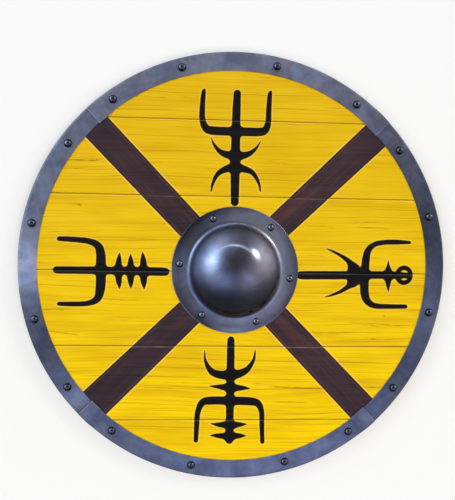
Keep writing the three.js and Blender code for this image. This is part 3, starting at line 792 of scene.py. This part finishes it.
def plank(number):
    high = CENTRE_SEAM_Y + (PLANK_COUNT // 2 + 1 - number) * PLANK_PITCH - SEAM_GAP / 2
    low = high - PLANK_PITCH + SEAM_GAP
    top, bottom = min(high, PLANK_DISC_RADIUS - DISC_CUT), max(low, DISC_CUT - PLANK_DISC_RADIUS)
    row_count = round((top - bottom) / ROW_SPACING)
    inside = np.linspace(bottom + INNER_ROWS_START, top - INNER_ROWS_START, row_count)
    hole_ends = BOSS_CENTRE[1] + HAND_HOLE_RADIUS * np.array([-1, 1])
    hole_ends = hole_ends[(hole_ends > bottom) & (hole_ends < top)]
    rows = np.unique(np.concatenate([bottom + EDGE_ROWS, inside, top - EDGE_ROWS, hole_ends]))
    outer = np.sqrt(PLANK_DISC_RADIUS**2 - rows**2)
    inner = np.sqrt(np.clip(HAND_HOLE_RADIUS**2 - (rows - BOSS_CENTRE[1]) ** 2, 0, None))
    inner[inner < 1e-3] = 0
    open_rows = inner > 0
    shell = Shell()

    def front_height(x, y):
        return plank_front_height(x, y, low, high)

    def back_height(x, y):
        return np.full(x.shape, PLANK_BACK_Z)

    def sheet(columns, height, slot, facing):
        """The front or back face, as a right and a left half that share their middle column."""
        x = inner[:, None] + (outer - inner)[:, None] * np.linspace(0, 1, columns)
        y = np.repeat(rows[:, None], columns, axis=1)
        right, left = [shell.add_points(side * x, y, height(side * x, y)) for side in (1, -1)]
        left[:, 0] = np.where(open_rows, left[:, 0], right[:, 0])
        shell.add_quads(right[:-1], right[1:], slot, facing)
        shell.add_quads(left[:-1], left[1:], slot, -facing)
        return right, left

    fronts = sheet(round(outer.max() / COLUMN_SPACING), front_height, PAINTED_FACE, 1)
    backs = sheet(BACK_COLUMNS, back_height, BARE_FACE, -1)
    for side, front, back in zip((1, -1), fronts, backs):
        shell.add_quads(front[:, -1], back[:, -1], BARE_FACE, side)
        shell.add_quads(front[:, 0], back[:, 0], BARE_FACE, -side, open_rows[:-1] | open_rows[1:])
        for row, turn in ((0, side), (-1, -side)):
            x = side * np.linspace(inner[row], outer[row], SEAM_COLUMNS)
            y = np.full(SEAM_COLUMNS, rows[row])
            over = shell.add_points(x, y, front_height(x, y))
            under = shell.add_points(x, y, back_height(x, y))
            shell.add_quads(under, over, BARE_FACE, turn)

    obj = make_object(f"plank_{number}", shell.points, shell.faces, shell.slots)
    x, y = shell.points[:, 0], shell.points[:, 1]
    distances = {"black": motif_distance(x, y), "band": band_distance(x, y)}
    distances.update({"top_edge": high - y, "low_edge": y - low})
    for name, distance in distances.items():
        add_attribute(obj, name, np.clip(distance, -PAINT_REACH, PAINT_REACH))
    add_attribute(obj, "crack", crack_strength(x, y))
    add_attribute(obj, "board", np.full(len(x), number))
    sharpen(obj, 60)
    dress(obj, f"plank_{number}", "painted_wood", PAINTED_WOOD, PLANK_BACK_WOOD)


# Painted reflections, highlights and shade on the steel, as its lightness changing round the shield: bearing,
# spread in degrees and change
RIM_PAINTED_LIGHT = (
    (8, 34, 0.42), (75, 24, -0.6), (122, 12, -0.35), (172, 32, 0.45), (230.5, 4.5, 0.7), (249, 13, -0.45),
    (270.5, 8, 1.05), (295, 20, -0.08), (320, 4.5, 0.2),
)
FLANGE_PAINTED_LIGHT = (
    (30, 26, 1.55), (60, 20, 0.2), (165, 34, 0.3), (214, 14, -0.15), (238, 16, -0.38), (308, 28, -0.5),
)
FLANGE_OUTER_PAINTED_LIGHT = ((2, 22, 0.25), (183, 13, 1.4), (212, 14, -0.25), (270, 11, 0.5), (335, 20, -0.25))
FLANGE_EDGE_PAINTED_HIGHLIGHT = ((200, 60, 0.9),)
FILLET_PAINTED_REFLECTION = ((52, 36, 0.3), (285, 30, -0.42), (325, 24, -0.35))
FOOT_PAINTED_SHADE = ((155, 62, 1.0),)


def bearing_of(x, y):
    return np.degrees(np.arctan2(x, y))


def change_round(bearing, tones):
    shares = [(turn_between(bearing, centre) / spread, change) for centre, spread, change in tones]
    return sum(change * np.exp(-(share**2)) for share, change in shares)


# Rim

LIP_ROUNDING = 0.4
LAP_STATIONS = 15


def front_flange(outside, inside, front):
    """The strip's front face, from the outside in, and its rounded lip."""
    face = [(radius, front) for radius in np.linspace(outside, inside + 0.45, 16)]
    return face + arc(inside + LIP_ROUNDING, front - LIP_ROUNDING, LIP_ROUNDING, 100, 180, 4)


def rim_section(lift):
    """The folded strip's outline, anticlockwise, with its front flange raised and widened by a share."""
    back_inside = SHIELD_RADIUS - RIM_BACK_WIDTH
    front_inside = SHIELD_RADIUS - RIM_FRONT_WIDTH - RIM_STEP_IN * lift
    fold, inner_wall = SHIELD_RADIUS - RIM_FOLD_RADIUS, SHIELD_RADIUS - RIM_SHEET
    front = RIM_FRONT_Z + RIM_LAP_RISE * lift
    return (
        [(back_inside, RIM_BACK_Z + 0.3), (back_inside + 0.3, RIM_BACK_Z), (back_inside + 8, RIM_BACK_Z)]
        + arc(fold, RIM_BACK_Z + RIM_FOLD_RADIUS, RIM_FOLD_RADIUS, -90, 0, 8)
        + [(SHIELD_RADIUS, (RIM_BACK_Z + front) / 2)]
        + arc(fold, front - RIM_FOLD_RADIUS, RIM_FOLD_RADIUS, 0, 90, 8)
        + front_flange(fold - 1.5, front_inside, front)
        + [(front_inside, front - RIM_SHEET), (inner_wall - 8, front - RIM_SHEET)]
        + arc(inner_wall - 1, front - RIM_SHEET - 1, 1, 90, 0, 3)
        + arc(inner_wall - 1, RIM_BACK_Z + RIM_SHEET + 1, 1, 0, -90, 3)
        + [(back_inside, RIM_BACK_Z + RIM_SHEET)]
    )


def lap_section():
    """The flat end that lies over the neighbouring strip."""
    inside, outside = SHIELD_RADIUS - RIM_FRONT_WIDTH - RIM_STEP_IN, SHIELD_RADIUS - 0.5
    front, back = RIM_FRONT_Z + RIM_LAP_RISE, RIM_FRONT_Z + RIM_LAP_RISE - RIM_SHEET
    under = [(inside, back), (outside - 1.2, back), (outside - 0.2, back - 0.3)]
    return under + arc(outside - 1, front - 1, 1, 0, 90, 4) + front_flange(outside - 3, inside, front)


def swept(sections, bearings, layer):
    """A closed outline swept round the shield's axis, with uneven faces and closed ends."""
    sections, turn = np.asarray(sections), np.radians(bearings)[:, None]
    radius, height = sections[:, :, 0], sections[:, :, 1]
    x, y = radius * np.sin(turn), radius * np.cos(turn)
    uneven = waves(x, y, layer, 0.34, 28) + waves(x, y, layer + 1, 0.07, 9)
    height = height + np.where(height > PLANK_FRONT_Z, uneven * smoothstep(SHIELD_RADIUS - radius, 0, 4), 0)
    rows, columns = radius.shape
    ends = [tuple(range(columns))[::-1], tuple(range((rows - 1) * columns, rows * columns))]
    return in_rows(x, y, height), grid_faces(rows, columns) + ends


def rim_strip(name):
    start, end, covers, _ = RIM_STRIPS[name]
    lap = -RIM_LAP_DEGREES if covers else RIM_LAP_DEGREES
    start, end = start - lap + RIM_HALF_GAP_DEGREES, end + lap - RIM_HALF_GAP_DEGREES
    bearings = np.linspace(start, end, round((end - start) / 0.5) + 1)
    near_ends = np.linspace(0, RIM_RAMP_DEGREES * 1.1, 12 if covers else 30)
    bearings = np.unique(np.concatenate([bearings, start + near_ends, end - near_ends]))
    lifts = covers * smoothstep(np.minimum(bearings - start, end - bearings), RIM_RAMP_DEGREES, 0)
    layer = 10 + 2 * list(RIM_STRIPS).index(name)
    points, faces = swept([rim_section(lift) for lift in lifts], bearings, layer)
    if covers:
        for low, high in ((start - RIM_LAP_DEGREES, start), (end, end + RIM_LAP_DEGREES)):
            stations = np.linspace(low, high, LAP_STATIONS)
            more_points, more_faces = swept([lap_section()] * LAP_STATIONS, stations, layer)
            faces += [tuple(i + len(points) for i in face) for face in more_faces]
            points = np.concatenate([points, more_points])
    obj = make_object(f"rim_{name}", points, faces)
    sharpen(obj, 35)

    x, y = points[:, 0], points[:, 1]
    bearing = bearing_of(x, y)
    # Tone: painted reflections and shade that change by bearing, and a darker outer fold
    tone = 1 + change_round(bearing, RIM_PAINTED_LIGHT)
    tone *= 1 - 0.45 * smoothstep(np.hypot(x, y), SHIELD_RADIUS - 2.4, SHIELD_RADIUS - 0.6)
    # A painted highlight on the lip of a strip that lies over its neighbours, and painted shadow on one that
    # runs under them
    painted_lip_light_and_shadow = ((0.7, 1.5, 0.5), (0.06, 22, 4)) if covers else ((-0.3, 1.6, 0.5), (-0.12, 18, 2))
    for lip in (start + lap, end - lap):
        away = np.abs(turn_between(bearing, lip)) * math.radians(1) * SHIELD_RADIUS
        tone *= 1 + sum(change * smoothstep(away, far, near) for change, far, near in painted_lip_light_and_shadow)
    add_attribute(obj, "tone", tone)
    # A painted reflection colour, bluer towards bearing 140
    add_attribute(obj, "painted_reflection_tint", 0.5 + 0.5 * np.cos(np.radians(bearing - 140)))
    dress(obj, f"rim_{name}", "steel", RIM_STEEL)


# Boss


def boss_skin(inset, steps):
    """The dome, part of a sphere, and the hollow fillet at its foot, from the flange up."""
    sphere = (DOME_RADIUS**2 + DOME_HEIGHT**2) / (2 * DOME_HEIGHT)
    sphere_z, fillet_z = BOSS_FLANGE_Z + DOME_HEIGHT - sphere, BOSS_FLANGE_Z + DOME_FILLET
    reach = sphere + DOME_FILLET
    across = math.sqrt(reach**2 - (fillet_z - sphere_z) ** 2)
    lean = math.degrees(math.asin(across / reach))
    foot = arc(across, fillet_z, DOME_FILLET + inset, 270, 270 - lean, steps // 3)
    return foot + arc(0, sphere_z, sphere - inset, 90 - lean, 89.8, steps)[1:]


def boss():
    outline = (
        boss_skin(BOSS_SHEET, 24)[::-1]
        + [(BOSS_FLANGE_RADIUS - 8, BOSS_BACK_Z), (BOSS_FLANGE_RADIUS - 0.3, BOSS_BACK_Z)]
        + arc(BOSS_FLANGE_RADIUS - 0.7, BOSS_FLANGE_Z - 0.7, 0.7, 0, 90, 4)
        + [(radius, BOSS_FLANGE_Z) for radius in np.linspace(BOSS_FLANGE_RADIUS - 1, DOME_RADIUS + 5, 14)]
        + boss_skin(0, 48)
    )

    def uneven(x, y, height, radius):
        flat = smoothstep(BOSS_FLANGE_RADIUS - radius, 0, 3) * smoothstep(radius, 0, 12)
        return (waves(x, y, 20, 0.36, 24) + waves(x, y, 21, 0.064, 9)) * flat

    obj = lathe("boss", outline, 192, BOSS_CENTRE, uneven)
    close_ends(obj)
    sharpen(obj, 40)
    points = points_of(obj)
    x, y = points[:, 0] - BOSS_CENTRE[0], points[:, 1] - BOSS_CENTRE[1]
    bearing, outward = bearing_of(x, y), np.hypot(x, y)
    # Tone is painted light: reflections on the flange and fillet painted lighter or darker by bearing and
    # distance from the dome, a painted highlight on the flange's edge and painted shade round the dome's foot
    flange = (1 + change_round(bearing, FLANGE_PAINTED_LIGHT)) * np.interp(outward, (72, 88), (1.9, 0.82))
    flange += change_round(bearing, FLANGE_OUTER_PAINTED_LIGHT) * smoothstep(outward, 80, 86.5)
    edge = smoothstep(outward, BOSS_FLANGE_RADIUS - 2.2, BOSS_FLANGE_RADIUS - 0.6)
    flange += change_round(bearing, FLANGE_EDGE_PAINTED_HIGHLIGHT) * edge
    share = smoothstep(outward, DOME_RADIUS, DOME_RADIUS + 6)
    foot = np.exp(-(((outward - 61.5) / 2.8) ** 2)) * (0.35 + 0.55 * change_round(bearing, FOOT_PAINTED_SHADE))
    fillet = np.exp(-(((outward - 67.5) / 3.2) ** 2)) * change_round(bearing, FILLET_PAINTED_REFLECTION)
    add_attribute(obj, "tone", (1 + (flange - 1) * share) * (1 - foot) * (1 + fillet))
    # Painted reflection colour: bluer on the dome's left side and less blue on the outer flange
    painted_left_reflection_blue = 0.2 * smoothstep(-x, -20, 60) * (1 - share)
    add_attribute(obj, "painted_reflection_tint", 0.25 + painted_left_reflection_blue - 0.3 * smoothstep(outward, 70, 82))
    add_attribute(obj, "polish", smoothstep(outward, 66, 56))
    dress(obj, "boss", "steel", BOSS_STEEL)


# Rivets


def rivet(name, x, y, head_radius, front, back, head_highlight, seed):
    """A domed head, slightly uneven, with a painted highlight on top and painted shade round its edge, a
    shank and a hammered end.
    """
    dice = np.random.default_rng(seed)
    head_z, tail_z = front + RIVET_SEAT, back - RIVET_SEAT
    tilt, turn = dice.uniform(0.0, 0.05), dice.uniform(0, 2 * math.pi)
    shares = np.linspace(0.03, 0.97, 8)
    tail = [(RIVET_TAIL_RADIUS * share, tail_z - RIVET_TAIL_HEIGHT * (1 - share**2.6)) for share in shares]
    shank = [(RIVET_TAIL_RADIUS, tail_z), (RIVET_SHANK_RADIUS, tail_z), (RIVET_SHANK_RADIUS, head_z)]
    dome = [
        (head_radius * math.cos(a) ** 0.92, head_z + head_radius * RIVET_DOME_RATIO * math.sin(a))
        for a in np.radians(np.linspace(0, 89, 14))
    ]

    def uneven(px, py, height, radius):
        lean = (px - x) * math.cos(turn) + (py - y) * math.sin(turn)
        return lean * tilt * 0.5 + waves(px, py, 22 + seed % 8, 0.12, 2.4)

    obj = lathe(name, tail + shank + [(head_radius - 0.3, head_z - 0.15)] + dome, 36, (x, y), uneven)
    close_ends(obj)
    sharpen(obj, 50)
    points = points_of(obj)
    outward = np.hypot(points[:, 0] - x, points[:, 1] - y) / head_radius
    # A painted highlight on top of the head and painted shade round its edge
    painted_head_light_and_shade = (head_highlight + 0.55) * smoothstep(outward, 0.88, 0.62) - 0.55
    add_attribute(obj, "painted_head_light_and_shade", np.where(points[:, 2] > head_z - 0.3, painted_head_light_and_shade, 0))
    dress(obj, name, "dark_steel", DARK_STEEL)


# Grip bar, battens and screws

HOLE_SIDES = 40
SCREW_SIDES = 96


def grip_width(y):
    along = abs(y - BOSS_CENTRE[1]) - GRIP_WAIST_HALF_LENGTH
    return GRIP_WAIST_WIDTH + (GRIP_BAR_WIDTH - GRIP_WAIST_WIDTH) * smoothstep(along, 0, GRIP_SHOULDER_LENGTH)


def batten_width(y):
    return BATTEN_WIDTH


def bar(name, centre_x, low, high, width_at, sway, screw_ys):
    """A bar with rounded edges and ends and a countersunk hole at each screw."""
    ends = np.array([0, 0.35, 0.9, 1.7, BAR_END_ROUNDING])
    stations = np.concatenate([low + ends, np.arange(low + 6, high - 5, 4.0), high - ends[::-1]])
    points = []
    for y in stations:
        tuck = 1.6 * max(0.0, 1 - min(y - low, high - y) / BAR_END_ROUNDING) ** 2
        half, edge = width_at(y) / 2 - tuck, BAR_EDGE_RADIUS
        back, front = tuck, BAR_THICKNESS - 0.2 * tuck
        section = (
            [(half, front - 0.6), (half, (front + back) / 2)]
            + arc(half - edge, back + edge, edge, 0, -90, 5)
            + [(half * share, back) for share in (0.5, 0.25, 0, -0.25, -0.5)]
            + arc(edge - half, back + edge, edge, -90, -180, 5)
            + [(-half, (front + back) / 2), (-half, front - 0.6)]
            + [(0.6 - half, front), (0, front), (half - 0.6, front)]
        )
        points += [(centre_x + x + waves(y, 0, 31, sway, 45), y, z) for x, z in section]
    rows, columns = len(stations), len(section)
    caps = [tuple(range(columns)), tuple(range((rows - 1) * columns, rows * columns))[::-1]]
    obj = make_object(name, points, grid_faces(rows, columns, flip=True) + caps)
    merge_close(obj)

    hole = [(0.01, -2), (5.3, -2), (SCREW_HEAD_RADIUS + 0.35, SCREW_RECESS + 0.1), (2.2, 3.6), (0.01, 3.6)]
    holes, hole_faces = [], []
    for i, y in enumerate(screw_ys):
        holes.append(in_rows(*turned(hole, HOLE_SIDES, (centre_x, y))[:3]))
        hole_faces += grid_faces(len(hole), HOLE_SIDES, offset=i * len(hole) * HOLE_SIDES)
    cutter = make_object(f"{name}_holes", np.concatenate(holes), hole_faces)
    merge_close(cutter, 2e-5)
    modifier = obj.modifiers.new("holes", "BOOLEAN")
    modifier.operation, modifier.solver, modifier.object = "DIFFERENCE", "EXACT", cutter
    bpy.context.view_layer.update()
    cut = bpy.data.meshes.new_from_object(obj.evaluated_get(bpy.context.evaluated_depsgraph_get()))
    obj.modifiers.clear()
    obj.data = cut
    bpy.data.objects.remove(cutter)
    obj.data.shade_smooth()
    sharpen(obj, 35)
    obj.data.materials.clear()
    dress(obj, name, "back_wood", BAR_WOOD)


def screw(name, x, y, seed):
    """A countersunk wood screw whose slotted head faces back."""
    turn = np.random.default_rng(seed).uniform(0, math.pi)
    radii = np.append(np.linspace(0, SCREW_HEAD_RADIUS - 0.25, 22), SCREW_HEAD_RADIUS)
    face = [(radius, SCREW_RECESS - 0.12 * (1 - (radius / SCREW_HEAD_RADIUS) ** 2)) for radius in radii]
    head = [(SCREW_HEAD_RADIUS, SCREW_RECESS + 0.25), (SCREW_SHANK_RADIUS, 3.1)]
    point = [(SCREW_SHANK_RADIUS, 21.5), (0.1, 23.2)]

    def slot(px, py, height, radius):
        across = np.abs((py - y) * math.cos(turn) - (px - x) * math.sin(turn))
        deep = smoothstep(across, 0.62, 0.46) * (height <= SCREW_RECESS)
        return deep * smoothstep(radius, SCREW_HEAD_RADIUS - 0.1, SCREW_HEAD_RADIUS - 0.5)

    obj = lathe(name, face + head + point, SCREW_SIDES, (x, y), slot, flip=True)
    merge_close(obj)
    obj.data.shade_smooth()
    sharpen(obj, 45)
    dress(obj, name, "dark_steel", DARK_STEEL)


for number in range(1, PLANK_COUNT + 1):
    plank(number)
for name in RIM_STRIPS:
    rim_strip(name)
boss()
rim_rivets = [(name, i, bearing) for name, strip in RIM_STRIPS.items() for i, bearing in enumerate(strip[3])]
for seed, (name, i, bearing) in enumerate(rim_rivets, 101):
    x, y = at_bearing(RIM_RIVET_CIRCLE_RADIUS, bearing)
    rivet(f"rim_rivet_{name}_{i + 1}", x, y, RIM_RIVET_HEAD_RADIUS, RIM_FRONT_Z, RIM_BACK_Z, 0.35, seed)
for i, bearing in enumerate(BOSS_RIVET_BEARINGS):
    x, y = at_bearing(BOSS_RIVET_CIRCLE_RADIUS, bearing)
    y += BOSS_CENTRE[1]
    rivet(f"boss_rivet_{i + 1}", x, y, BOSS_RIVET_HEAD_RADIUS, BOSS_FLANGE_Z, PLANK_BACK_Z, 0.95, 200 + i)
bar("grip_bar", 0, -GRIP_BAR_HALF_LENGTH, GRIP_BAR_HALF_LENGTH, grip_width, 0.5, GRIP_SCREW_YS)
for side, x in (("left", -BATTEN_X), ("right", BATTEN_X)):
    low, high = CENTRE_SEAM_Y - BATTEN_HALF_LENGTH, CENTRE_SEAM_Y + BATTEN_HALF_LENGTH
    bar(f"batten_{side}", x, low, high, batten_width, 0, BATTEN_SCREW_YS)
    for i, y in enumerate(BATTEN_SCREW_YS):
        screw(f"screw_batten_{side}_{i + 1}", x, y, 300 + i + int(x))
for i, y in enumerate(GRIP_SCREW_YS):
    screw(f"screw_grip_bar_{i + 1}", 0, y, 400 + i)

# Floor, light and camera

FLOOR_RADIUS = 6000
FLOOR_Z = -0.3
WALL_RADIUS = 5900
WALL_HEIGHT = 6000

# The soft room's bright patches: direction, colour, the way it is long, and its sharpness along and across
ROOM_PATCHES = (
    ((-0.640, 0.310, 0.703), (1.65, 2.3, 3.1), (0.2, 1.0, 0.0), (11, 21)),
    ((-0.700, 0.150, 0.700), (0.34, 0.41, 0.55), (0.0, 1.0, 0.0), (6, 7)),
    ((0.623, 0.450, 0.640), (8.0, 8.2, 8.4), (0.588, -0.809, 0.0), (70, 280)),
    ((-0.325, 0.748, 0.579), (0.42, 0.49, 0.60), (1.0, 0.0, 0.0), (6, 8)),
    ((0.819, 0.333, 0.467), (0.98, 0.99, 1.03), (0.0, 1.0, 0.0), (5, 7)),
    ((-0.384, -0.329, 0.863), (0.30, 0.38, 0.58), (1.0, 0.0, 0.0), (8, 12)),
    ((-0.898, 0.147, 0.415), (0.16, 0.22, 0.38), (0.0, 1.0, 0.0), (6, 8)),
    ((0.438, -0.299, 0.848), (0.31, 0.34, 0.49), (1.0, 0.0, 0.0), (7, 10)),
)
ROOM_DIMNESS = (0.045, 0.045, 0.052)  # away from them

# A level line of light: bearing, height, thickness and colour
ROOM_STRIP = (12, 0.700, 0.016, (1.5, 2.0, 2.8))

OVERHEAD_PLACE = (0.0, -0.5, 4.6)  # in metres
OVERHEAD_SIZE = 4.6
OVERHEAD_POWER = 207
OVERHEAD_COLOUR = (1.0, 0.935, 0.82)


def stage_piece(name, outline, sides, faces, colours, scale, detail, roughness):
    obj = make_object(name, in_rows(*turned(outline, sides, (0, 0))[:3]), faces)
    s = Surface(f"pale_{name}")
    tone = s.noise(s.place(), scale=scale, detail=detail)
    obj.data.materials.append(s.finish(Base_Color=s.mix(tone, *colours), Roughness=roughness))
    return obj


def floor():
    colours = (0.868, 0.853, 0.821), (0.878, 0.863, 0.831)
    stage_piece("floor", [(FLOOR_RADIUS, FLOOR_Z)], 64, [tuple(range(64))], colours, 2.5, 2, 0.9)


def wall():
    """A far pale wall round the floor, left out of the steel's reflections."""
    colours = (0.88, 0.87, 0.85), (0.90, 0.89, 0.87)
    outline = [(WALL_RADIUS, -1), (WALL_RADIUS, WALL_HEIGHT)]
    obj = stage_piece("wall", outline, 96, grid_faces(2, 96), colours, 0.8, 1, 0.95)
    obj.visible_glossy = obj.visible_diffuse = obj.visible_shadow = False


def world_light():
    world = bpy.data.worlds.new("room")
    bpy.context.scene.world = world
    room = Nodes(world)
    direction = room.add("ShaderNodeTexCoord", {}).outputs["Generated"]

    def facing(axis):
        return room.vector_math("DOT_PRODUCT", direction, axis)

    def falloff(value, sharpness):
        return room.times(room.times(value, value), -sharpness)

    total = ROOM_DIMNESS
    for towards, colour, long_way, (along, across) in ROOM_PATCHES:
        towards = Vector(towards).normalized()
        side = towards.cross(Vector(long_way)).normalized()
        fading = room.math("ADD", falloff(facing(side.cross(towards)), along), falloff(facing(side), across))
        lobe = room.times(room.math("EXPONENT", fading), room.math("GREATER_THAN", facing(towards), 0.0))
        total = room.vector_math("ADD", room.vector_math("SCALE", colour, lobe), total)
    bearing, height, thickness, colour = ROOM_STRIP
    level = room.math("DIVIDE", room.math("SUBTRACT", facing((0.0, 0.0, 1.0)), height), thickness)
    level = room.math("EXPONENT", falloff(level, 1.0))
    past = room.math("SUBTRACT", facing((*at_bearing(1, bearing), 0.0)), math.sqrt(1 - height**2))
    spread = room.math("MINIMUM", room.math("EXPONENT", room.times(past, 7.0)), 1.0)
    total = room.vector_math("ADD", room.vector_math("SCALE", colour, room.times(level, spread)), total)
    room.put(room.nodes["Background"].inputs["Color"], total)


def overhead_light():
    """A large soft light that the steel doesn't mirror."""
    data = bpy.data.lights.new("overhead", "AREA")
    data.shape, data.size, data.energy, data.color = "SQUARE", OVERHEAD_SIZE, OVERHEAD_POWER, OVERHEAD_COLOUR
    obj = bpy.data.objects.new("overhead", data)
    obj.location = OVERHEAD_PLACE
    obj.rotation_euler = (-Vector(OVERHEAD_PLACE)).to_track_quat("-Z", "Y").to_euler()
    obj.visible_glossy = False
    bpy.context.scene.collection.objects.link(obj)


def camera():
    level = math.cos(CAMERA_TILT_UP)
    leftward, upward = math.sin(CAMERA_TILT_LEFT) * level, math.sin(CAMERA_TILT_UP)
    offset = Vector((-leftward, upward, math.cos(CAMERA_TILT_LEFT) * level))
    right = (-offset).cross(Vector((0, 1, 0))).normalized()
    up = right.cross(-offset)
    cosine, sine = math.cos(CAMERA_ROLL), math.sin(CAMERA_ROLL)
    right, up = cosine * right + sine * up, cosine * up - sine * right
    data = bpy.data.cameras.new("camera")
    data.sensor_width = 36.0
    data.lens = FOCAL_PIXELS * data.sensor_width / PHOTO_HEIGHT
    data.shift_x = -CENTRE_OFFSET_PIXELS[0] / PHOTO_HEIGHT
    data.shift_y = CENTRE_OFFSET_PIXELS[1] / PHOTO_HEIGHT
    data.clip_end = 100.0
    obj = bpy.data.objects.new("camera", data)
    position = offset * CAMERA_DISTANCE * MM + Vector((0, 0, RIM_FRONT_Z * MM))
    obj.matrix_world = Matrix.Translation(position) @ Matrix((right, up, offset)).transposed().to_4x4()
    bpy.context.scene.collection.objects.link(obj)
    bpy.context.scene.camera = obj


floor()
wall()
world_light()
overhead_light()
camera()
bpy.context.scene.view_settings.view_transform = "Standard"


def plain(bounds):
    return [[float(v) for v in corner] for corner in bounds]
